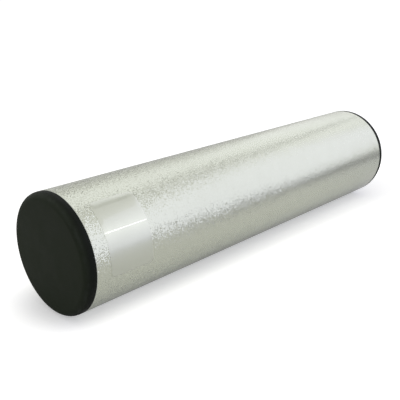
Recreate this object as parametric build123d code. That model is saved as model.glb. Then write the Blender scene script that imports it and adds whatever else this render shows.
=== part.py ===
from build123d import *
import math
import os

# Ganza shaker: a plain metal tube, stopped at each end by a pressed-in moulded cap, with loose
# steel shot inside. It lies on its side. X runs along the tube from the front cap to the rear
# cap, Z is up, and the origin is under the middle of the tube, on the surface that it lies on.
# Sizes are in millimetres and angles in degrees.

# Tube
TUBE_OUTER_DIAMETER = 50.0
TUBE_WALL = 1.0
TUBE_LENGTH = 205.0
EDGE_BREAK = 0.2

# End caps: a flange flush with the tube, a flat face inside a round shoulder, and a hollow skirt
CAP_FLANGE_THICKNESS = 4.5
CAP_SHOULDER_RADIUS = 3.0
CAP_END_WALL = 2.4
CAP_SKIRT_DEPTH = 14.0
CAP_SKIRT_WALL = 2.0
CAP_SKIRT_CLEARANCE = 0.15
CAP_LEAD_IN_LENGTH = 1.5
CAP_LEAD_IN_DEPTH = 0.6

# Crush ribs that hold the cap's skirt in the bore
RIB_COUNT = 12
RIB_WIDTH = 1.2
RIB_INTERFERENCE = 0.1

# Foil label stuck to the tube beside the front cap, with its angle measured from the top
LABEL_LENGTH = 20.5
LABEL_WIDTH = 31.0
LABEL_THICKNESS = 0.1
LABEL_ADHESIVE = 0.06
LABEL_CORNER_RADIUS = 2.0
LABEL_FROM_CAP = 6.5
LABEL_ANGLE = 65.0

# Steel shot, which lies in rows along the bottom of the bore, one layer of rows on another
SHOT_DIAMETER = 4.5
SHOT_GAP = 0.3
LAYER_NAMES = ("wall", "middle", "top")
LAYER_ROWS = (9, 6, 3)
LAYER_FILL = (0.62, 0.58, 0.48)
REST_SCATTER = 0.8
SCATTER_TURN = 137.5

# Sizes that follow from the ones above
TUBE_RADIUS = TUBE_OUTER_DIAMETER / 2
BORE_RADIUS = TUBE_RADIUS - TUBE_WALL
SKIRT_RADIUS = BORE_RADIUS - CAP_SKIRT_CLEARANCE
HOLLOW_RADIUS = SKIRT_RADIUS - CAP_SKIRT_WALL
HOLLOW_END = CAP_FLANGE_THICKNESS - CAP_END_WALL
SHOT_PITCH = SHOT_DIAMETER + SHOT_GAP
TUBE_AXIS = Pos(0, 0, TUBE_RADIUS)


def ring_along_x(outer_radius, inner_radius, length):
    """A plain sleeve centred on the origin, with its axis along X."""
    return Rot(0, 90, 0) * (Cylinder(outer_radius, length) - Cylinder(inner_radius, length))


def tube():
    """The seamless tube, with the edges of both ends broken."""
    sleeve = ring_along_x(TUBE_RADIUS, BORE_RADIUS, TUBE_LENGTH)
    end_faces = sleeve.faces().filter_by(GeomType.PLANE)
    return TUBE_AXIS * chamfer(end_faces.edges(), EDGE_BREAK)


def cap_half_section():
    """A cap's half section: X outwards from the end of the tube, Y the distance from its axis."""
    shoulder = min(CAP_SHOULDER_RADIUS, CAP_FLANGE_THICKNESS - 2 * EDGE_BREAK)
    face_radius = TUBE_RADIUS - shoulder
    face_side = Polyline(
        (HOLLOW_END, 0),
        (CAP_FLANGE_THICKNESS, 0),
        (CAP_FLANGE_THICKNESS, face_radius),
    )
    shoulder_arc = CenterArc((CAP_FLANGE_THICKNESS - shoulder, face_radius), shoulder, 0, 90)
    tube_side = Polyline(
        (CAP_FLANGE_THICKNESS - shoulder, TUBE_RADIUS),
        (EDGE_BREAK, TUBE_RADIUS),
        (0, TUBE_RADIUS - EDGE_BREAK),
        (0, SKIRT_RADIUS),
        (CAP_LEAD_IN_LENGTH - CAP_SKIRT_DEPTH, SKIRT_RADIUS),
        (-CAP_SKIRT_DEPTH, SKIRT_RADIUS - CAP_LEAD_IN_DEPTH),
        (-CAP_SKIRT_DEPTH, HOLLOW_RADIUS),
        (HOLLOW_END, HOLLOW_RADIUS),
        (HOLLOW_END, 0),
    )
    return make_face(Curve() + [face_side, shoulder_arc, tube_side])


def crush_rib():
    """One rib on top of the skirt, rooted in its wall and standing proud of the bore."""
    root = SKIRT_RADIUS - CAP_SKIRT_WALL / 2
    crest = BORE_RADIUS + RIB_INTERFERENCE
    length = CAP_SKIRT_DEPTH - CAP_LEAD_IN_LENGTH
    return Pos(-length / 2, 0, (root + crest) / 2) * Box(length, RIB_WIDTH, crest - root)


def cap():
    """A cap with its axis along X, its seat on the tube at X = 0 and its face towards +X."""
    body = revolve(cap_half_section(), Axis.X)
    ribs = [Rot(360 * index / RIB_COUNT, 0, 0) * crush_rib() for index in range(RIB_COUNT)]
    return body + ribs


def rear_cap():
    """The cap at the +X end of the tube."""
    return TUBE_AXIS * Pos(TUBE_LENGTH / 2, 0, 0) * cap()


def front_cap():
    """The same cap, turned round, at the -X end of the tube."""
    return TUBE_AXIS * Pos(-TUBE_LENGTH / 2, 0, 0) * Rot(0, 0, 180) * cap()


def foil_label():
    """A thin rounded foil wrapped round the tube's side."""
    inner_radius = TUBE_RADIUS + LABEL_ADHESIVE
    outer_radius = inner_radius + LABEL_THICKNESS
    half_angle = LABEL_WIDTH / 2 / outer_radius
    chord = 2 * outer_radius * math.sin(half_angle)
    sleeve = ring_along_x(outer_radius, inner_radius, LABEL_LENGTH)
    outline = extrude(RectangleRounded(LABEL_LENGTH, chord, LABEL_CORNER_RADIUS), outer_radius)
    middle = (LABEL_LENGTH - TUBE_LENGTH) / 2 + LABEL_FROM_CAP
    return TUBE_AXIS * Pos(middle, 0, 0) * Rot(LABEL_ANGLE, 0, 0) * (sleeve & outline)


def layer_radius(layer):
    """Distance from the tube's axis to the middles of the shot in a layer."""
    return BORE_RADIUS - SHOT_GAP - SHOT_DIAMETER / 2 - layer * SHOT_PITCH


def full_row_count():
    """How many shot fill a row from one cap's skirt to the other's."""
    room = TUBE_LENGTH - 2 * CAP_SKIRT_DEPTH - SHOT_GAP
    return int(room / SHOT_PITCH)


def row_angles(layer):
    """Angles of a layer's rows about the tube's axis, from straight down."""
    step = 2 * math.degrees(math.asin(SHOT_PITCH / 2 / layer_radius(layer)))
    middle = (LAYER_ROWS[layer] - 1) / 2
    return [(index - middle) * step for index in range(LAYER_ROWS[layer])]


def row_stations(layer, index):
    """Places along X of the shot in a row: the lowest row is full, the others lie scattered."""
    full = full_row_count()
    lowest_row = layer == 0 and index == LAYER_ROWS[layer] // 2
    count = full if lowest_row else int(full * LAYER_FILL[layer])
    order = index + sum(LAYER_ROWS[:layer])
    lean = REST_SCATTER * math.sin(math.radians(SCATTER_TURN * order))
    first = round((full - count) / 2 * (1 + lean))
    return [(first + place - (full - 1) / 2) * SHOT_PITCH for place in range(count)]


def shot_row(layer, index):
    """One row of shot, each a separate ball."""
    lane = Rot(row_angles(layer)[index], 0, 0) * Pos(0, 0, -layer_radius(layer))
    balls = [
        TUBE_AXIS * lane * Pos(station, 0, 0) * Sphere(SHOT_DIAMETER / 2)
        for station in row_stations(layer, index)
    ]
    return Compound(children=balls)


def shot_rows():
    """Every row of shot by its node name."""
    return {
        f"shot_row_{name}_{index + 1}": shot_row(layer, index)
        for layer, name in enumerate(LAYER_NAMES)
        for index in range(LAYER_ROWS[layer])
    }


def pieces():
    """Every piece of the shaker by its node name."""
    shell = {
        "tube": tube(),
        "front_cap": front_cap(),
        "rear_cap": rear_cap(),
        "foil_label": foil_label(),
    }
    return shell | shot_rows()


os.makedirs("parts", exist_ok=True)
for node_name, shape in pieces().items():
    export_step(shape, f"parts/{node_name}.step")
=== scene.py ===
"""The looks of a ganza shaker: a pebbled silver tube, moulded black caps, a foil label and steel shot.

Sizes are in metres and angles in degrees. X runs along the tube from the front cap to the rear cap,
Z is up, and the tube lies on the floor at Z = 0.
"""

import logging
import math
from abc import ABC, abstractmethod
from dataclasses import dataclass, field
from enum import Enum

import bmesh
import bpy
from mathutils import Matrix, Quaternion, Vector


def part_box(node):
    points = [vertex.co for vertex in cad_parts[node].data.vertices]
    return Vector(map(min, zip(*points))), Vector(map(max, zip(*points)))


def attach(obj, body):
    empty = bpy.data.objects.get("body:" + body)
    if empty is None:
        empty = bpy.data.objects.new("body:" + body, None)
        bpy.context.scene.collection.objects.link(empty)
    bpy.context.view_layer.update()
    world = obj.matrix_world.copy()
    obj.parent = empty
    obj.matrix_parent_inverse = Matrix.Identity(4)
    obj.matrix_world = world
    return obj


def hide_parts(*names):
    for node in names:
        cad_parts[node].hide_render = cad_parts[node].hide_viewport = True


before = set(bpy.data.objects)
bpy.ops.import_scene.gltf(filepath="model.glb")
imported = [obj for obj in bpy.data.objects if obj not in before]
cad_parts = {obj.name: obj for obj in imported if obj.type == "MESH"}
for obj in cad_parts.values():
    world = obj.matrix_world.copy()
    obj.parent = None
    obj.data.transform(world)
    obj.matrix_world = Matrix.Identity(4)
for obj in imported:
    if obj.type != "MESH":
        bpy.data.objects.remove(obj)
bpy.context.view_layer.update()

Colour = tuple[float, float, float]
Place = tuple[float, float, float]
Range = tuple[float, float]
Socket = bpy.types.NodeSocket
Operand = Socket | float | tuple[float, ...]

LOG = logging.getLogger("shaker")
MM = 0.001
FULL_TURN = 2 * math.pi
DIAGONAL = math.sqrt(0.5)
ORIGIN: Place = (0.0, 0.0, 0.0)
X_AXIS: Place = (1.0, 0.0, 0.0)
Y_AXIS: Place = (0.0, 1.0, 0.0)
Z_AXIS: Place = (0.0, 0.0, 1.0)
WHITE: Colour = (1.0, 1.0, 1.0)
OPAQUE = 1.0

SHELL_BODY = "shell"
SHOT_PREFIX = "shot_row_"

# Points nearer than this are one point
MERGE_DISTANCE = 0.002 * MM
# Distance from a rounded edge to the loop of edges that keeps the surface beside it flat
HOLD_BACK = 0.4 * MM
# An edge that bends further than this stays sharp
SHARP_ANGLE = 32.0

# Shares that a pattern rises or falls between
RISE: Range = (0.0, 1.0)
FALL: Range = (1.0, 0.0)
# The part of a cloudy pattern's own range that is used, for soft clouds and for clearer patches
CLOUD_SPREAD: Range = (0.3, 0.7)
PATCH_SPREAD: Range = (0.35, 0.7)
# The middle of a cloudy pattern's range, on each axis
NOISE_MIDDLE: Place = (0.5, 0.5, 0.5)


class End(Enum):
    """The ends of the tube, each with the way that it faces along X."""

    FRONT = -1
    REAR = 1

    @property
    def node(self) -> str:
        """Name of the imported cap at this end."""
        return f"{self.name.lower()}_cap"


class Slot(Enum):
    """The record's material slots for the pieces that are modelled here."""

    TUBE = "tube_metal"
    CAP = "cap_plastic"
    LABEL = "label_foil"


class Noise(Enum):
    """What a cloudy pattern gives at each point, by the output that gives it."""

    NUMBER = "Fac"
    VECTOR = "Color"


class Arithmetic(Enum):
    """Arithmetic on numbers and vectors: a kind of node, its operation and the output with its result."""

    PRODUCT = ("ShaderNodeMath", "MULTIPLY", "Value")
    PRODUCT_PLUS = ("ShaderNodeMath", "MULTIPLY_ADD", "Value")
    DIFFERENCE = ("ShaderNodeMath", "SUBTRACT", "Value")
    LARGER = ("ShaderNodeMath", "MAXIMUM", "Value")
    SIZE = ("ShaderNodeMath", "ABSOLUTE", "Value")
    VECTOR_PRODUCT = ("ShaderNodeVectorMath", "MULTIPLY", "Vector")
    VECTOR_SUM = ("ShaderNodeVectorMath", "ADD", "Vector")
    VECTOR_DIFFERENCE = ("ShaderNodeVectorMath", "SUBTRACT", "Vector")
    VECTOR_LARGER = ("ShaderNodeVectorMath", "MAXIMUM", "Vector")
    VECTOR_SIZES = ("ShaderNodeVectorMath", "ABSOLUTE", "Vector")
    UNIT_VECTOR = ("ShaderNodeVectorMath", "NORMALIZE", "Vector")
    LENGTH = ("ShaderNodeVectorMath", "LENGTH", "Value")


class Nodes:
    """A node tree, with short calls that add to it."""

    def __init__(self, tree: bpy.types.NodeTree) -> None:
        """Takes up a node tree."""
        self.tree = tree

    def add(self, kind: str) -> bpy.types.Node:
        """Adds a node of a kind."""
        return self.tree.nodes.new(kind)

    def link(self, source: Operand, target: Socket) -> None:
        """Joins an output to an input, or sets the input to a plain value.

        Args:
            source: The output or the value.
            target: The input.
        """
        if isinstance(source, bpy.types.NodeSocket):
            self.tree.links.new(source, target)
        elif target.type == "RGBA":
            target.default_value = (*source, OPAQUE)
        else:
            target.default_value = source

    def work_out(self, arithmetic: Arithmetic, *operands: Operand) -> Socket:
        """Does one step of arithmetic.

        Args:
            arithmetic: The step.
            operands: What it works on, in order.

        Returns:
            Its result.
        """
        kind, operation, output = arithmetic.value
        node = self.add(kind)
        node.operation = operation
        for operand, target in zip(operands, node.inputs):
            self.link(operand, target)
        return node.outputs[output]


class FinishNodes(Nodes):
    """The node tree of one finish, with short calls for the patterns that the finishes share."""

    def __init__(self, name: str) -> None:
        """Starts a material with a plain shader.

        Args:
            name: The material's name.
        """
        self.material = bpy.data.materials.new(name)
        self.material.use_nodes = True
        super().__init__(self.material.node_tree)
        self.shader = self.tree.nodes["Principled BSDF"]
        self.place = self.add("ShaderNodeTexCoord").outputs["Object"]

    def set(self, **values: float | Colour) -> None:
        """Sets plain values on the shader's own sockets.

        Args:
            values: A value for each socket, with underscores for the spaces in the socket's name.
        """
        for name, value in values.items():
            self.link(value, self.shader.inputs[name.replace("_", " ")])

    def set_matt(self, colour: Colour) -> None:
        """Sets a plain matt colour."""
        self.set(Base_Color=colour, Roughness=1.0, Specular_IOR_Level=0.0)

    def feed(self, source: Socket, name: str) -> None:
        """Joins an output to one of the shader's inputs."""
        self.link(source, self.shader.inputs[name])

    def mapped(self, scale: Place, shift: Place = ORIGIN) -> Socket:
        """The place on the piece, scaled and then shifted.

        Args:
            scale: How many times as large it gets on each axis.
            shift: What is added to it after that.

        Returns:
            The new place.
        """
        mapping = self.add("ShaderNodeMapping")
        self.link(self.place, mapping.inputs["Vector"])
        self.link(scale, mapping.inputs["Scale"])
        self.link(shift, mapping.inputs["Location"])
        return mapping.outputs["Vector"]

    def noise(
        self,
        size: float,
        detail: float = 2.0,
        stretch: Place = (1.0, 1.0, 1.0),
        result: Noise = Noise.NUMBER,
    ) -> Socket:
        """A cloudy pattern fixed to the piece.

        Args:
            size: Width of one cloud.
            detail: How many finer layers it has.
            stretch: How many times as long a cloud is along each axis.
            result: What it gives at each point.

        Returns:
            The pattern, about 0.5 on average.
        """
        clouds = self.add("ShaderNodeTexNoise")
        scale = tuple(1 / (size * times) for times in stretch)
        self.link(self.mapped(scale), clouds.inputs["Vector"])
        self.link(1.0, clouds.inputs["Scale"])
        self.link(detail, clouds.inputs["Detail"])
        return clouds.outputs[result.value]

    def remap(self, value: Socket, start: Range, end: Range) -> Socket:
        """Carries a value from one range to another, held at its ends.

        Args:
            value: What is carried over.
            start: The range that it has.
            end: The range that it gets.

        Returns:
            The new value.
        """
        node = self.add("ShaderNodeMapRange")
        node.interpolation_type = "SMOOTHSTEP"
        self.link(value, node.inputs["Value"])
        for name, limit in zip(("From Min", "From Max", "To Min", "To Max"), start + end):
            self.link(limit, node.inputs[name])
        return node.outputs["Result"]

    def clouds(self, size: float, end: Range, detail: float = 2.0, spread: Range = CLOUD_SPREAD) -> Socket:
        """A cloudy pattern carried over to a range.

        Args:
            size: Width of one cloud.
            end: The range that it gets.
            detail: How many finer layers it has.
            spread: The part of its own range that is carried over.

        Returns:
            The pattern.
        """
        return self.remap(self.noise(size, detail), spread, end)

    def multiply(self, first: Socket, second: Socket) -> Socket:
        """The product of two values."""
        return self.work_out(Arithmetic.PRODUCT, first, second)

    def blend(self, share: Socket, first: Colour | Socket, second: Colour) -> Socket:
        """Goes from one colour to another.

        Args:
            share: How much of the second colour there is, from 0 to 1.
            first: The first colour, or an output that gives it.
            second: The second colour.

        Returns:
            The blended colour.
        """
        node = self.add("ShaderNodeMixRGB")
        for source, name in ((share, "Fac"), (first, "Color1"), (second, "Color2")):
            self.link(source, node.inputs[name])
        return node.outputs["Color"]

    def bump(self, height: Socket, depth: float) -> Socket:
        """Raises the surface by a pattern.

        Args:
            height: The pattern, from 0 to 1.
            depth: How deep it is.

        Returns:
            The bumped normal.
        """
        node = self.add("ShaderNodeBump")
        self.link(1.0, node.inputs["Strength"])
        self.link(depth, node.inputs["Distance"])
        self.link(height, node.inputs["Height"])
        return node.outputs["Normal"]

    def tilt(self, size: float, slope: Socket) -> Socket:
        """Tilts the surface at random, as the sides of small pebbles do.

        Args:
            size: Width of one pebble.
            slope: How far the surface tilts.

        Returns:
            The tilted normal.
        """
        pattern = self.noise(size, detail=0.0, result=Noise.VECTOR)
        centred = self.work_out(Arithmetic.VECTOR_DIFFERENCE, pattern, NOISE_MIDDLE)
        sideways = self.work_out(Arithmetic.VECTOR_PRODUCT, centred, slope)
        outwards = self.add("ShaderNodeNewGeometry").outputs["Normal"]
        tilted = self.work_out(Arithmetic.VECTOR_SUM, sideways, outwards)
        return self.work_out(Arithmetic.UNIT_VECTOR, tilted)

    def along(self) -> Socket:
        """Place along the tube.

        Returns:
            The place on X, which is 0 in the middle and grows to the rear.
        """
        axes = self.add("ShaderNodeSeparateXYZ")
        self.link(self.place, axes.inputs["Vector"])
        return axes.outputs["X"]

    def from_middle(self) -> Socket:
        """Distance from the middle of the tube along X."""
        return self.work_out(Arithmetic.SIZE, self.along())

    def from_line(self, half_length: float) -> Socket:
        """Distance from a line on X, with its middle at the origin.

        Args:
            half_length: Half the line's length.

        Returns:
            The distance, which is 0 on the line.
        """
        spread = self.work_out(Arithmetic.VECTOR_SIZES, self.place)
        past_end = self.work_out(Arithmetic.VECTOR_DIFFERENCE, spread, (half_length, 0.0, 0.0))
        off_line = self.work_out(Arithmetic.VECTOR_LARGER, past_end, ORIGIN)
        return self.work_out(Arithmetic.LENGTH, off_line)

    def from_axis(self, axis_height: float) -> Socket:
        """Distance from the tube's axis.

        Args:
            axis_height: Height of the axis over the floor.

        Returns:
            The distance.
        """
        across_tube = (0.0, 1.0, 1.0)
        off_axis = self.mapped(across_tube, (0.0, 0.0, -axis_height))
        return self.work_out(Arithmetic.LENGTH, off_axis)


@dataclass(frozen=True)
class PebbledMetal:
    """The tube's skin: pale silver with a fine pebbled grain.

    It is painted lighter towards its front end, which is painted light, and it is brighter where its ends
    are cut. Towards the rear its pebbles get shallower and its gloss duller.

    Attributes:
        half_length: Half the tube's length.
        silver: Its colour.
        worn_silver: Its colour in clouds of wear.
        front_light_silver: Its colour at the front end, painted lighter there as painted light.
        front_light_length: How far from the front end that painted light reaches.
        cut_silver: Its colour at the cut ends.
        cut_width: How far from the cut ends that colour reaches.
        pebble_size: Width of one pebble.
        pebble_slope: How far the pebbles tilt, at the front end and at the rear end.
        cloud_size: Width of one cloud.
        roughness: Least and most roughness in the clouds at the front end.
        dulling: How many times as rough it is, at the front end and at the rear end.
        metallic: How far it is bare metal.
    """

    half_length: float
    silver: Colour = (0.535, 0.555, 0.468)
    worn_silver: Colour = (0.525, 0.544, 0.458)
    front_light_silver: Colour = (0.571, 0.592, 0.499)
    front_light_length: float = 75 * MM
    cut_silver: Colour = (0.61, 0.63, 0.58)
    cut_width: float = 0.3 * MM
    pebble_size: float = 0.42 * MM
    pebble_slope: Range = (0.88, 0.32)
    cloud_size: float = 6 * MM
    roughness: Range = (0.07, 0.09)
    dulling: Range = (1.0, 2.6)
    metallic: float = 0.7

    def make(self) -> bpy.types.Material:
        """Makes the material.

        Returns:
            The material.
        """
        nodes = FinishNodes("pebbled_silver")
        nodes.set(Metallic=self.metallic)
        skin = nodes.blend(nodes.clouds(self.cloud_size, RISE), self.silver, self.worn_silver)
        # The front end is painted lighter: painted light along the tube
        front_light_end = self.front_light_length - self.half_length
        front_light = nodes.remap(nodes.along(), (-self.half_length, front_light_end), FALL)
        skin = nodes.blend(front_light, skin, self.front_light_silver)
        cut_start = self.half_length - self.cut_width
        cut = nodes.remap(nodes.from_middle(), (cut_start, self.half_length), RISE)
        nodes.feed(nodes.blend(cut, skin, self.cut_silver), "Base Color")
        ends = (-self.half_length, self.half_length)
        dulling = nodes.remap(nodes.along(), ends, self.dulling)
        gloss = nodes.clouds(self.cloud_size, self.roughness)
        nodes.feed(nodes.multiply(gloss, dulling), "Roughness")
        slope = nodes.remap(nodes.along(), ends, self.pebble_slope)
        nodes.feed(nodes.tilt(self.pebble_size, slope), "Normal")
        return nodes.material


@dataclass(frozen=True)
class MouldedPlastic:
    """The caps' black plastic: a fine spark-eroded grain, a painted highlight on the shoulder, painted
    shade beyond it.

    Attributes:
        axis_height: Height of the tube's axis over the floor.
        sheen_radius: Radius at which the painted highlight on the shoulder is strongest.
        black: Its colour.
        dusty_black: Its colour in dusty clouds.
        sheen_black: Its colour in the painted highlight round the shoulder.
        shaded_rim_black: Its colour beyond the shoulder, on the side of the flange, darkened as painted
            shade.
        sheen_width: How far in and out from that radius the painted highlight reaches.
        grain_size: Width of one grain.
        grain_depth: Depth of the grain.
        cloud_size: Width of one cloud.
        cloud_detail: Finer layers in the dusty clouds.
        sheen_patch_size: Width of one patch that breaks up the painted highlight.
        sheen_patch_detail: Finer layers in those patches.
        sheen_patch_share: Least and most of the painted highlight in those patches.
        roughness: Least and most roughness in the clouds.
        specular: How much light its skin mirrors.
    """

    axis_height: float
    sheen_radius: float
    black: Colour = (0.0076, 0.0102, 0.0058)
    dusty_black: Colour = (0.0094, 0.0124, 0.0073)
    sheen_black: Colour = (0.014, 0.017, 0.013)
    shaded_rim_black: Colour = (0.0022, 0.0031, 0.0024)
    sheen_width: float = 1.3 * MM
    grain_size: float = 0.28 * MM
    grain_depth: float = 0.010 * MM
    cloud_size: float = 9 * MM
    cloud_detail: float = 4.0
    sheen_patch_size: float = 2.2 * MM
    sheen_patch_detail: float = 5.0
    sheen_patch_share: Range = (0.2, 1.0)
    roughness: Range = (0.46, 0.58)
    specular: float = 0.08

    def make(self) -> bpy.types.Material:
        """Makes the material.

        Returns:
            The material.
        """
        nodes = FinishNodes("moulded_black")
        nodes.set(Specular_IOR_Level=self.specular)
        dust = nodes.clouds(self.cloud_size, RISE, self.cloud_detail)
        skin = nodes.blend(dust, self.black, self.dusty_black)
        # A lighter band round the middle of the shoulder, broken into patches, is a painted highlight
        distance = nodes.from_axis(self.axis_height)
        inner = (self.sheen_radius - self.sheen_width, self.sheen_radius)
        outer = (self.sheen_radius, self.sheen_radius + self.sheen_width)
        sheen = nodes.multiply(nodes.remap(distance, inner, RISE), nodes.remap(distance, outer, FALL))
        sheen_patches = nodes.clouds(self.sheen_patch_size, self.sheen_patch_share, self.sheen_patch_detail, PATCH_SPREAD)
        face = nodes.blend(nodes.multiply(sheen, sheen_patches), skin, self.sheen_black)
        # Beyond the shoulder the flange's side is darkened: painted shade
        beyond = nodes.remap(distance, outer, RISE)
        nodes.feed(nodes.blend(beyond, face, self.shaded_rim_black), "Base Color")
        nodes.feed(nodes.clouds(self.cloud_size, self.roughness), "Roughness")
        nodes.feed(nodes.bump(nodes.noise(self.grain_size), self.grain_depth), "Normal")
        return nodes.material


@dataclass(frozen=True)
class LaminatedFoil:
    """The label's skin: smooth silver foil under a clear gloss film, with faint ripples.

    Attributes:
        silver: The foil's colour.
        dull_silver: Its colour in dull clouds.
        cloud_size: Width of one cloud.
        ripple_size: Width of one ripple that the adhesive leaves.
        ripple_depth: Depth of the ripples.
        roughness: Least and most roughness of the foil.
        metallic: How far the foil is bare metal.
        film_weight: How far the film covers the foil.
        film_roughness: The film's roughness.
        film_ior: The film's index of refraction.
    """

    silver: Colour = (0.515, 0.534, 0.450)
    dull_silver: Colour = (0.505, 0.523, 0.440)
    cloud_size: float = 8 * MM
    ripple_size: float = 5 * MM
    ripple_depth: float = 0.002 * MM
    roughness: Range = (0.37, 0.39)
    metallic: float = 0.7
    film_weight: float = 1.0
    film_roughness: float = 0.04
    film_ior: float = 1.62

    def make(self) -> bpy.types.Material:
        """Makes the material.

        Returns:
            The material.
        """
        nodes = FinishNodes("laminated_foil")
        nodes.set(Metallic=self.metallic, Coat_Weight=self.film_weight)
        nodes.set(Coat_Roughness=self.film_roughness, Coat_IOR=self.film_ior)
        dullness = nodes.clouds(self.cloud_size, RISE)
        nodes.feed(nodes.blend(dullness, self.silver, self.dull_silver), "Base Color")
        nodes.feed(nodes.clouds(self.cloud_size, self.roughness), "Roughness")
        nodes.feed(nodes.bump(nodes.noise(self.ripple_size), self.ripple_depth), "Normal")
        return nodes.material


@dataclass(frozen=True)
class PlainSteel:
    """The shot's skin: bare steel, tarnished in patches and finely scratched by rolling.

    Attributes:
        bright: The steel's colour.
        tarnished: Its colour in tarnished patches.
        patch_size: Width of one patch.
        patch_detail: Finer layers in the patches.
        scratch_size: Width of one scratch.
        scratch_stretch: How many times as long as wide a scratch is along each axis.
        scratch_depth: Depth of the scratches.
        roughness: Least and most roughness in the patches.
        metallic: How far it is bare metal.
    """

    bright: Colour = (0.56, 0.56, 0.57)
    tarnished: Colour = (0.38, 0.37, 0.36)
    patch_size: float = 1.8 * MM
    patch_detail: float = 4.0
    scratch_size: float = 0.12 * MM
    scratch_stretch: Place = (4.0, 1.0, 1.0)
    scratch_depth: float = 0.002 * MM
    roughness: Range = (0.18, 0.36)
    metallic: float = 1.0

    def make(self) -> bpy.types.Material:
        """Makes the material.

        Returns:
            The material.
        """
        nodes = FinishNodes("plain_steel")
        nodes.set(Metallic=self.metallic)
        patches = nodes.clouds(self.patch_size, RISE, self.patch_detail, PATCH_SPREAD)
        nodes.feed(nodes.blend(patches, self.bright, self.tarnished), "Base Color")
        nodes.feed(nodes.clouds(self.patch_size, self.roughness), "Roughness")
        scratches = nodes.noise(self.scratch_size, stretch=self.scratch_stretch)
        nodes.feed(nodes.bump(scratches, self.scratch_depth), "Normal")
        return nodes.material


@dataclass(frozen=True)
class Corner:
    """A corner of a half section.

    Attributes:
        along: Its place along the tube's axis.
        out: Its distance from the axis.
        soften: How far from the corner its rounding starts, along both sides.
    """

    along: float
    out: float
    soften: float = 0.0


def round_corners(
    shape: bmesh.types.BMesh, points: list[bmesh.types.BMVert], soften: float, arc_steps: int
) -> None:
    """Rounds corners of a wire or a flat sheet.

    Args:
        shape: The wire or the sheet.
        points: The corners.
        soften: How far from a corner its rounding starts, along both sides.
        arc_steps: Steps in each rounding.
    """
    bmesh.ops.bevel(
        shape, geom=points, offset=soften, affect="VERTICES", segments=arc_steps, profile=0.5, material=-1
    )


def draw_section(corners: list[Corner], closed: bool, arc_steps: int) -> bmesh.types.BMesh:
    """Draws a half section as a wire over the X axis, with its corners rounded.

    Args:
        corners: The corners, in order.
        closed: Whether the last corner joins the first.
        arc_steps: Steps in each rounding.

    Returns:
        The wire.
    """
    wire = bmesh.new()
    points = [wire.verts.new((corner.along, 0.0, corner.out)) for corner in corners]
    for start, end in zip(points, points[1:]):
        wire.edges.new((start, end))
    if closed:
        wire.edges.new((points[-1], points[0]))
    for corner, point in zip(corners, points):
        if corner.soften:
            round_corners(wire, [point], corner.soften, arc_steps)
    return wire


def spin_section(shape: bmesh.types.BMesh, facets: int) -> None:
    """Turns a half section once round the X axis, into a closed skin that faces outwards.

    Args:
        shape: The wire, which becomes the skin.
        facets: Steps in the turn.
    """
    bmesh.ops.spin(
        shape, geom=shape.verts[:] + shape.edges[:], cent=ORIGIN, axis=X_AXIS,
        angle=FULL_TURN, steps=facets, use_merge=True,
    )
    bmesh.ops.remove_doubles(shape, verts=shape.verts[:], dist=MERGE_DISTANCE)
    bmesh.ops.recalc_face_normals(shape, faces=shape.faces[:])


def cut_square(side: float = 1.0) -> bmesh.types.BMesh:
    """Cuts a flat square sheet of one face, with its middle at the origin.

    Args:
        side: Its side.

    Returns:
        The sheet.
    """
    sheet = bmesh.new()
    bmesh.ops.create_grid(sheet, x_segments=1, y_segments=1, size=side / 2)
    return sheet


def rotation(angle: float, axis: str) -> Matrix:
    """A turn about an axis through the origin, by an angle in radians."""
    return Matrix.Rotation(angle, 3, axis)


def place_shape(shape: bmesh.types.BMesh, turn: Matrix, seat: Place) -> None:
    """Turns a shape about the origin and then moves it to its place.

    Args:
        shape: The shape.
        turn: The turn.
        seat: Where its origin goes.
    """
    bmesh.ops.rotate(shape, cent=ORIGIN, matrix=turn, verts=shape.verts[:])
    bmesh.ops.translate(shape, vec=seat, verts=shape.verts[:])


def make_mesh(name: str, shape: bmesh.types.BMesh) -> bpy.types.Mesh:
    """Makes a mesh of a finished shape.

    Args:
        name: The mesh's name.
        shape: The shape, which is used up.

    Returns:
        The mesh.
    """
    mesh = bpy.data.meshes.new(name)
    shape.to_mesh(mesh)
    shape.free()
    return mesh


def add_object(name: str, data: bpy.types.ID) -> bpy.types.Object:
    """Adds an object to the scene.

    Args:
        name: The object's name.
        data: Its mesh, lamp or camera.

    Returns:
        The object.
    """
    item = bpy.data.objects.new(name, data)
    bpy.context.scene.collection.objects.link(item)
    return item


def set_piece(name: str, shape: bmesh.types.BMesh, node: str) -> bpy.types.Object:
    """Makes a shape a piece of the shell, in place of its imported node.

    Args:
        name: The piece's name.
        shape: Its finished shape, which is used up.
        node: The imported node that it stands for.

    Returns:
        The piece.
    """
    mesh = make_mesh(name, shape)
    mesh.shade_smooth()
    mesh.set_sharp_from_angle(angle=math.radians(SHARP_ANGLE))
    piece = add_object(name, mesh)
    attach(piece, SHELL_BODY)
    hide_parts(node)
    return piece


@dataclass
class Assembly(ABC):
    """A sub-assembly that builds its pieces and then dresses them.

    Attributes:
        pieces: The pieces that are built.
    """

    pieces: list[bpy.types.Object] = field(default_factory=list, init=False)

    @abstractmethod
    def build(self) -> None:
        """Makes the pieces."""

    @abstractmethod
    def finish(self) -> bpy.types.Material:
        """Makes the material that the pieces are dressed in."""

    def dress(self) -> None:
        """Gives every piece the sub-assembly's finish."""
        material = self.finish()
        for piece in self.pieces:
            piece.data.materials.clear()
            piece.data.materials.append(material)


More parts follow.
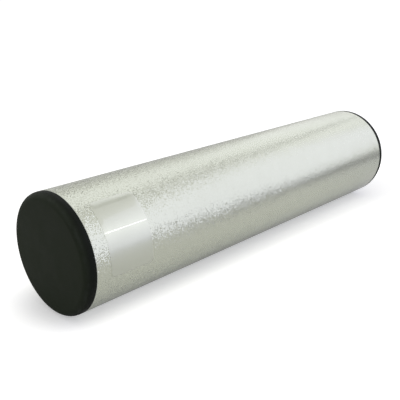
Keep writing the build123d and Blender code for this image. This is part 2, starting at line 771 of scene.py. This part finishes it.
@dataclass
class Tube(Assembly):
    """The seamless tube, open at both ends, with its cut edges broken.

    Attributes:
        length: Its length.
        radius: Its outer radius.
        axis_height: Height of its axis over the floor.
        wall: Thickness of its wall.
        edge_break: How far the breaking of an edge reaches.
        facets: Faces round it.
        bands: Faces along it, between its ends.
        edge_steps: Faces across a broken edge.
    """

    length: float
    radius: float
    axis_height: float
    wall: float = 1.0 * MM
    edge_break: float = 0.2 * MM
    facets: int = 256
    bands: int = 40
    edge_steps: int = 2

    @classmethod
    def from_frame(cls) -> "Tube":
        """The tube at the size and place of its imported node."""
        low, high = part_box("tube")
        return cls(high.x - low.x, (high.z - low.z) / 2, (high.z + low.z) / 2)

    def build(self) -> None:
        """Spins the wall's section round the tube's axis."""
        half = self.length / 2
        hold = half - HOLD_BACK
        bore = self.radius - self.wall
        corners = []
        # The section runs to the rear along the outside and comes back along the bore
        for out, way in ((self.radius, End.REAR.value), (bore, End.FRONT.value)):
            corners.append(Corner(-way * half, out, self.edge_break))
            corners.append(Corner(-way * hold, out))
            corners.append(Corner(way * hold, out))
            corners.append(Corner(way * half, out, self.edge_break))
        shape = draw_section(corners, True, self.edge_steps)
        long_sides = [edge for edge in shape.edges if edge.calc_length() > half]
        bmesh.ops.subdivide_edges(shape, edges=long_sides, cuts=self.bands - 1)
        spin_section(shape, self.facets)
        bmesh.ops.translate(shape, vec=(0, 0, self.axis_height), verts=shape.verts[:])
        self.pieces.append(set_piece("tube_wall", shape, "tube"))

    def finish(self) -> bpy.types.Material:
        """Pebbled silver."""
        return PebbledMetal(self.length / 2).make()


@dataclass
class EndCap(Assembly):
    """A moulded cap: a flat face inside a round shoulder, and a hollow ribbed skirt in the bore.

    Attributes:
        end: The end of the tube that it stops.
        tube: The tube.
        flange: Thickness of its flange, which stands outside the tube.
        skirt_depth: How far its skirt reaches into the bore.
        shoulder: Radius of its shoulder.
        end_wall: Thickness of its face.
        skirt_wall: Thickness of its skirt.
        skirt_clearance: Gap between the skirt and the bore.
        lead_in_length: Length of the taper at the end of the skirt.
        lead_in_depth: Depth of that taper.
        inner_fillet: How far the rounding at the bottom of the hollow reaches.
        rib_count: Crush ribs round the skirt.
        rib_height: Height of a rib over the skirt.
        facets: Faces round it.
        arc_steps: Faces across a rounding.
    """

    end: End
    tube: Tube
    flange: float
    skirt_depth: float
    shoulder: float = 3.0 * MM
    end_wall: float = 2.4 * MM
    skirt_wall: float = 2.0 * MM
    skirt_clearance: float = 0.15 * MM
    lead_in_length: float = 1.5 * MM
    lead_in_depth: float = 0.6 * MM
    inner_fillet: float = 0.5 * MM
    rib_count: int = 12
    rib_height: float = 0.13 * MM
    facets: int = 240
    arc_steps: int = 8

    @classmethod
    def from_frame(cls, end: End, tube: Tube) -> "EndCap":
        """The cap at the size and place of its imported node.

        Args:
            end: The end of the tube that it stops.
            tube: The tube.

        Returns:
            The cap.
        """
        low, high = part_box(end.node)
        flange = max(high.x, -low.x) - tube.length / 2
        return cls(end, tube, flange, high.x - low.x - flange)

    @property
    def sheen_radius(self) -> float:
        """Radius of the middle of the shoulder, where the painted highlight is strongest."""
        return self.tube.radius - self.shoulder * (1 - DIAGONAL)

    @property
    def skirt_radius(self) -> float:
        """Outer radius of the skirt."""
        return self.tube.radius - self.tube.wall - self.skirt_clearance

    def section(self) -> list[Corner]:
        """The half section of a cap that faces +X, with its seat on the tube at X = 0.

        Returns:
            The corners, from the middle of the face round to the middle of the hollow.
        """
        hollow_end = self.flange - self.end_wall
        hollow_radius = self.skirt_radius - self.skirt_wall
        return [
            Corner(self.flange, 0.0),
            Corner(self.flange, self.tube.radius - self.shoulder - HOLD_BACK),
            Corner(self.flange, self.tube.radius, self.shoulder),
            Corner(0.0, self.tube.radius, self.tube.edge_break),
            Corner(0.0, self.skirt_radius),
            Corner(self.lead_in_length - self.skirt_depth, self.skirt_radius),
            Corner(-self.skirt_depth, self.skirt_radius - self.lead_in_depth),
            Corner(-self.skirt_depth, hollow_radius),
            Corner(hollow_end, hollow_radius, self.inner_fillet),
            Corner(hollow_end, 0.0),
        ]

    def is_rib(self, face: bmesh.types.BMFace) -> bool:
        """Whether a face of the skirt is the foot of a crush rib.

        Args:
            face: A face of the spun cap.

        Returns:
            True for the two faces across each rib.
        """
        distances = [math.hypot(*vert.co.yz) for vert in face.verts]
        on_skirt = all(abs(distance - self.skirt_radius) < MERGE_DISTANCE for distance in distances)
        middle = face.calc_center_median()
        step = FULL_TURN / self.rib_count
        off_rib = (math.atan2(middle.y, middle.z) + step / 2) % step - step / 2
        return on_skirt and abs(off_rib) < FULL_TURN / self.facets

    def raise_ribs(self, shape: bmesh.types.BMesh) -> None:
        """Raises the crush ribs that grip the bore.

        Args:
            shape: The spun cap.
        """
        feet = [face for face in shape.faces if self.is_rib(face)]
        raised = bmesh.ops.extrude_face_region(shape, geom=feet)["geom"]
        crests = [item for item in raised if isinstance(item, bmesh.types.BMVert)]
        growth = 1 + self.rib_height / self.skirt_radius
        bmesh.ops.scale(shape, vec=(1, growth, growth), verts=crests)
        bmesh.ops.delete(shape, geom=[face for face in feet if face.is_valid], context="FACES")

    def build(self) -> None:
        """Spins the cap, raises its ribs and sets it in its end of the tube."""
        shape = draw_section(self.section(), False, self.arc_steps)
        spin_section(shape, self.facets)
        self.raise_ribs(shape)
        facing = rotation(math.pi if self.end is End.FRONT else 0.0, "Z")
        place_shape(shape, facing, (self.end.value * self.tube.length / 2, 0.0, self.tube.axis_height))
        self.pieces.append(set_piece(f"{self.end.node}_moulding", shape, self.end.node))

    def finish(self) -> bpy.types.Material:
        """Moulded black plastic."""
        return MouldedPlastic(self.tube.axis_height, self.sheen_radius).make()


@dataclass
class FoilLabel(Assembly):
    """The bare foil label wrapped round the tube's side, beside the front cap, with its rim rubbed down.

    Attributes:
        tube: The tube that it is stuck to.
        length: Its length along the tube.
        middle: Place of its middle along X.
        width: Its width round the tube.
        thickness: Thickness of the foil and its film.
        adhesive: Thickness of the adhesive.
        bed_gap: Gap between the adhesive and the tube.
        corner_radius: Radius of its corners.
        rim_width: Width of the rubbed-down rim.
        rim_height: Height that is left at the edge of the rim.
        angle: Angle of its middle from the top of the tube towards -Y.
        corner_steps: Faces across a corner.
        strips: Faces across its width.
    """

    tube: Tube
    length: float
    middle: float
    width: float = 31.0 * MM
    thickness: float = 0.1 * MM
    adhesive: float = 0.06 * MM
    bed_gap: float = 0.01 * MM
    corner_radius: float = 2.0 * MM
    rim_width: float = 1.5 * MM
    rim_height: float = 0.03 * MM
    angle: float = 65.0
    corner_steps: int = 6
    strips: int = 60

    @classmethod
    def from_frame(cls, tube: Tube) -> "FoilLabel":
        """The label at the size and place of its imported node.

        Args:
            tube: The tube that it is stuck to.

        Returns:
            The label.
        """
        low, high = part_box("foil_label")
        return cls(tube, high.x - low.x, (high.x + low.x) / 2)

    def cut_sheet(self) -> bmesh.types.BMesh:
        """Cuts the flat sheet, with its corners rounded, a rim, and folds across its width.

        Returns:
            The sheet.
        """
        sheet = cut_square()
        bmesh.ops.scale(sheet, vec=(self.length, self.width, 1), verts=sheet.verts[:])
        round_corners(sheet, sheet.verts[:], self.corner_radius, self.corner_steps)
        inner = sheet.faces[:]
        for inset in (self.rim_width, HOLD_BACK):
            bmesh.ops.inset_region(
                sheet, faces=inner, thickness=inset, use_boundary=True, use_even_offset=True
            )
        for fold in range(1, self.strips):
            across = self.width * fold / self.strips - self.width / 2
            bmesh.ops.bisect_plane(
                sheet, geom=sheet.verts[:] + sheet.edges[:] + sheet.faces[:], dist=MERGE_DISTANCE,
                plane_co=(0, across, 0), plane_no=Y_AXIS,
            )
        return sheet

    def wrap(self, sheet: bmesh.types.BMesh) -> None:
        """Wraps the sheet over the top of the tube, beds it in its adhesive and rubs its rim down.

        Args:
            sheet: The flat sheet, which becomes the label.
        """
        radius = self.tube.radius + self.adhesive + self.thickness
        for vert in sheet.verts:
            turn = rotation(-vert.co.y / radius, "X")
            vert.co = turn @ Vector((vert.co.x, 0, radius))
        top = set(sheet.verts)
        rim = [vert for vert in sheet.verts if vert.is_boundary]
        depth = self.adhesive + self.thickness - self.bed_gap
        bmesh.ops.solidify(sheet, geom=sheet.faces[:], thickness=depth)
        bed = [vert for vert in sheet.verts if vert not in top]
        self.press(bed, self.bed_gap)
        self.press(rim, self.bed_gap + self.rim_height)
        bmesh.ops.recalc_face_normals(sheet, faces=sheet.faces[:])

    def press(self, verts: list[bmesh.types.BMVert], height: float) -> None:
        """Presses part of the wrapped label to one height.

        Args:
            verts: The vertices that are pressed.
            height: Their height over the tube.
        """
        for vert in verts:
            stretch = (self.tube.radius + height) / math.hypot(vert.co.y, vert.co.z)
            vert.co.y *= stretch
            vert.co.z *= stretch

    def build(self) -> None:
        """Wraps the label and turns it to its place on the tube's side."""
        shape = self.cut_sheet()
        self.wrap(shape)
        side = rotation(math.radians(self.angle), "X")
        place_shape(shape, side, (self.middle, 0.0, self.tube.axis_height))
        self.pieces.append(set_piece("label_sheet", shape, "foil_label"))

    def finish(self) -> bpy.types.Material:
        """Laminated foil."""
        return LaminatedFoil().make()


@dataclass
class ShotCharge(Assembly):
    """The loose steel shot, whose packed rows are the right shape and stay as they are."""

    def build(self) -> None:
        """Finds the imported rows."""
        rows = (name for name in sorted(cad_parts) if name.startswith(SHOT_PREFIX))
        self.pieces.extend(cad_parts[name] for name in rows)

    def finish(self) -> bpy.types.Material:
        """Plain steel."""
        return PlainSteel().make()

    def dress(self) -> None:
        """Puts the steel on every slot of the rows."""
        material = self.finish()
        for row in self.pieces:
            for slot in row.material_slots:
                slot.material = material


@dataclass(frozen=True)
class SoftBox:
    """A soft rectangular lamp that faces a point.

    Attributes:
        name: The lamp's name.
        azimuth: Its bearing from +X towards +Y.
        elevation: Its angle above the floor.
        distance: How far away it stands.
        width: Its width.
        height: Its height.
        glow: Its brightness, where 1 is white.
        roll: How far it leans over to its left.
        tint: Its colour.
        in_metal: Whether it shows in shiny surfaces.
        on_matt: Whether it lights matt surfaces.
    """

    name: str
    azimuth: float
    elevation: float
    distance: float
    width: float
    height: float
    glow: float
    roll: float = 0.0
    tint: Colour = WHITE
    in_metal: bool = True
    on_matt: bool = True

    def hang(self, target: Vector, lit: list[bpy.types.Object] | None = None) -> None:
        """Hangs the lamp so that it faces a point.

        Args:
            target: The point that it faces.
            lit: The only pieces that it lights, or None where it lights everything.
        """
        light = bpy.data.lights.new(self.name, "AREA")
        light.shape = "RECTANGLE"
        light.size = self.width
        light.size_y = self.height
        light.color = self.tint
        light.energy = self.glow * math.pi * self.width * self.height
        bearing = math.radians(self.azimuth)
        rise = math.radians(self.elevation)
        level = math.cos(rise)
        away = Vector((math.cos(bearing) * level, math.sin(bearing) * level, math.sin(rise)))
        lean = Quaternion(Z_AXIS, math.radians(self.roll))
        lamp = add_object(self.name, light)
        lamp.location = target + away * self.distance
        lamp.rotation_euler = (away.to_track_quat("Z", "Y") @ lean).to_euler()
        lamp.visible_camera = False
        lamp.visible_glossy = self.in_metal
        lamp.visible_diffuse = self.on_matt
        if lit is not None:
            receivers = bpy.data.collections.new(f"lit_by_{self.name}")
            for piece in lit:
                receivers.objects.link(piece)
            lamp.light_linking.receiver_collection = receivers


@dataclass(frozen=True)
class Card:
    """A card among the lamps, which draws a dark line in the metal and doesn't show by itself.

    Attributes:
        name: The card's name.
        start: The middle of one end.
        end: The middle of the other end.
        breadth: Its breadth at the start.
        taper: How many times as broad it is at the end.
        grey: How light it is.
    """

    name: str
    start: Place
    end: Place
    breadth: float
    taper: float
    grey: float

    def stand(self, target: Vector) -> None:
        """Stands the card so that it faces a point.

        Args:
            target: The point that it faces.
        """
        along = Vector(self.end) - Vector(self.start)
        middle = (Vector(self.start) + Vector(self.end)) / 2
        across = (target - middle).cross(along).normalized() * self.breadth
        facing = along.cross(across).normalized()
        place = Matrix.Translation(middle) @ Matrix((along, across, facing)).transposed().to_4x4()
        shape = cut_square()
        far_corners = [vert for vert in shape.verts if vert.co.x > 0]
        bmesh.ops.scale(shape, vec=(1, self.taper, 1), verts=far_corners)
        bmesh.ops.transform(shape, matrix=place, verts=shape.verts[:])
        card = add_object(self.name, make_mesh(self.name, shape))
        nodes = FinishNodes(self.name)
        nodes.set_matt((self.grey, self.grey, self.grey))
        card.data.materials.append(nodes.material)
        card.visible_camera = False
        card.visible_diffuse = False
        card.visible_shadow = False


@dataclass(frozen=True)
class RayLevels:
    """A brightness that depends on what looks at it.

    Attributes:
        seen: What the camera sees, or an output that gives it.
        mirrored: What shows in metal and through clear things.
        fill: What soft light takes from it.
    """

    seen: float | Socket
    mirrored: float
    fill: float

    def feed(self, nodes: Nodes, target: Socket) -> None:
        """Joins the brightness to an input.

        Args:
            nodes: The node tree that the input belongs to.
            target: The input.
        """
        rays = nodes.add("ShaderNodeLightPath").outputs
        mirrored_ray = nodes.work_out(
            Arithmetic.LARGER, rays["Is Glossy Ray"], rays["Is Transmission Ray"]
        )
        level = self.fill
        for ray, brightness in ((rays["Is Camera Ray"], self.seen), (mirrored_ray, self.mirrored)):
            over_fill = nodes.work_out(Arithmetic.DIFFERENCE, brightness, self.fill)
            level = nodes.work_out(Arithmetic.PRODUCT_PLUS, ray, over_fill, level)
        nodes.link(level, target)


@dataclass
class Studio:
    """The white floor, the lamps and cards, the white surroundings and the camera.

    Attributes:
        target: The point that the lamps and cards face.
        cap_pieces: The pieces that the face softbox lights.
        label_pieces: The pieces that the strip lamp lights.
        floor_size: The floor's side.
        floor_white: The floor's colour.
        floor_glow: The floor's own brightness to the eye, lower along the shade's line as painted shade,
            and full away from it.
        floor_glow_reach: Distances from the shade's line where the brightness starts and ends its rise.
        shade_start: Front end of the shade's line on the floor.
        shade_end: Rear end of the shade's line.
        floor_mirrored: The floor's own brightness in metal.
        surroundings: Brightness of the white surroundings.
        strip_along: How far along X from the target the strip lamp hangs.
        camera_place: Where the camera stands.
        camera_aim: The way that it looks.
        lens_mm: Focal length of its lens.
        sensor_mm: Width of its sensor.
        boxes: The softboxes round the shaker.
        face_box: The softbox in front of the front cap's face.
        strip: The strip lamp that gleams in the label.
        cards: The cards among the lamps.
    """

    target: Vector
    cap_pieces: list[bpy.types.Object]
    label_pieces: list[bpy.types.Object]
    floor_size: float = 12.0
    floor_white: Colour = (0.78, 0.78, 0.78)
    floor_glow: Range = (0.39, 0.70)
    floor_glow_reach: Range = (0.013, 0.033)
    shade_start: tuple[float, float] = (-0.091, 0.003)
    shade_end: tuple[float, float] = (0.125, -0.012)
    floor_mirrored: float = 0.04
    surroundings: RayLevels = RayLevels(seen=1.0, mirrored=0.92, fill=0.48)
    strip_along: float = 0.44
    camera_place: Place = (-0.21665, -0.18697, 0.12365)
    camera_aim: Place = (0.67527, 0.65414, -0.34077)
    lens_mm: float = 54.28
    sensor_mm: float = 36.0
    boxes: tuple[SoftBox, ...] = (
        SoftBox(
            "front_softbox", azimuth=-66.5, elevation=13.8, distance=0.35, width=1.03, height=0.39,
            glow=0.59, roll=31.5, tint=(1.0, 1.01, 1.40),
        ),
        SoftBox(
            "back_softbox", azimuth=22.8, elevation=47.9, distance=0.43, width=0.34, height=0.50,
            glow=0.45, roll=-17.2, tint=(0.98, 1.0, 1.17), on_matt=False,
        ),
        SoftBox(
            "overhead_softbox", azimuth=-80.0, elevation=72.0, distance=0.21, width=0.22, height=0.22,
            glow=1.65, tint=(1.0, 0.99, 0.82), in_metal=False,
        ),
    )
    face_box: SoftBox = SoftBox(
        "face_softbox", azimuth=165.0, elevation=15.0, distance=0.45, width=0.30, height=0.30,
        glow=3.2, in_metal=False,
    )
    strip: SoftBox = SoftBox(
        "strip_lamp", azimuth=-90.0, elevation=32.0, distance=0.8, width=1.04, height=0.018, glow=9.5
    )
    cards: tuple[Card, ...] = (
        Card(
            "upper_card", start=(0.03, -0.05, 0.305), end=(0.36, 0.06, 0.19),
            breadth=0.032, taper=0.2, grey=0.02,
        ),
        Card(
            "front_card", start=(0.02, -0.112, 0.0035), end=(0.34, -0.112, 0.009),
            breadth=0.016, taper=1.0, grey=0.02,
        ),
        Card(
            "back_card", start=(-0.02, 0.2, 0.13), end=(0.26, 0.2, 0.095),
            breadth=0.06, taper=0.3, grey=0.35,
        ),
    )

    def lay_floor(self) -> None:
        """Lays the plain floor, white to the eye but for real shadow and painted shade along a line under
        the shaker.
        """
        start = Vector(self.shade_start)
        shade = Vector(self.shade_end) - start
        floor = add_object("floor", make_mesh("floor", cut_square(self.floor_size)))
        floor.location.xy = start + shade / 2
        floor.rotation_euler.z = math.atan2(shade.y, shade.x)
        nodes = FinishNodes("floor_white")
        nodes.set_matt(self.floor_white)
        nodes.set(Emission_Color=WHITE)
        # The glow is lower near the shade's line, which paints shade over the real shadow
        seen = nodes.remap(nodes.from_line(shade.length / 2), self.floor_glow_reach, self.floor_glow)
        glow = RayLevels(seen, self.floor_mirrored, fill=0.0)
        glow.feed(nodes, nodes.shader.inputs["Emission Strength"])
        floor.data.materials.append(nodes.material)

    def hang_lamps(self) -> None:
        """Hangs the softboxes and the strip lamp, and stands the cards among them."""
        for box in self.boxes:
            box.hang(self.target)
        self.face_box.hang(self.target, self.cap_pieces)
        self.strip.hang(self.target + Vector(X_AXIS) * self.strip_along, self.label_pieces)
        for card in self.cards:
            card.stand(self.target)

    def light_surroundings(self) -> None:
        """Makes the surroundings white to the eye and in metal, with a softer fill elsewhere."""
        world = bpy.data.worlds.new("white_tent")
        bpy.context.scene.world = world
        world.use_nodes = True
        nodes = Nodes(world.node_tree)
        background = world.node_tree.nodes["Background"].inputs
        nodes.link(WHITE, background["Color"])
        self.surroundings.feed(nodes, background["Strength"])

    def set_camera(self) -> None:
        """Sets the camera at the photograph's viewing angle."""
        lens = bpy.data.cameras.new("camera")
        lens.lens = self.lens_mm
        lens.sensor_width = self.sensor_mm
        camera = add_object("camera", lens)
        camera.location = self.camera_place
        camera.rotation_euler = Vector(self.camera_aim).to_track_quat("-Z", "Y").to_euler()
        bpy.context.scene.camera = camera
        bpy.context.scene.view_settings.view_transform = "Standard"

    def build(self) -> None:
        """Sets up the whole studio."""
        self.lay_floor()
        self.hang_lamps()
        self.light_surroundings()
        self.set_camera()


def main() -> None:
    """Builds and dresses the sub-assemblies in order, and sets up the studio."""
    logging.basicConfig(level=logging.INFO, format="%(message)s")
    tube = Tube.from_frame()
    caps = [EndCap.from_frame(end, tube) for end in End]
    label = FoilLabel.from_frame(tube)
    for assembly in (tube, *caps, label, ShotCharge()):
        assembly.build()
        assembly.dress()
        for piece in assembly.pieces:
            LOG.info("%s: %s, %d faces", type(assembly).__name__, piece.name, len(piece.data.polygons))
    cap_pieces = [piece for cap in caps for piece in cap.pieces]
    Studio(Vector((0.0, 0.0, tube.axis_height)), cap_pieces, label.pieces).build()


if __name__ == "__main__":
    main()
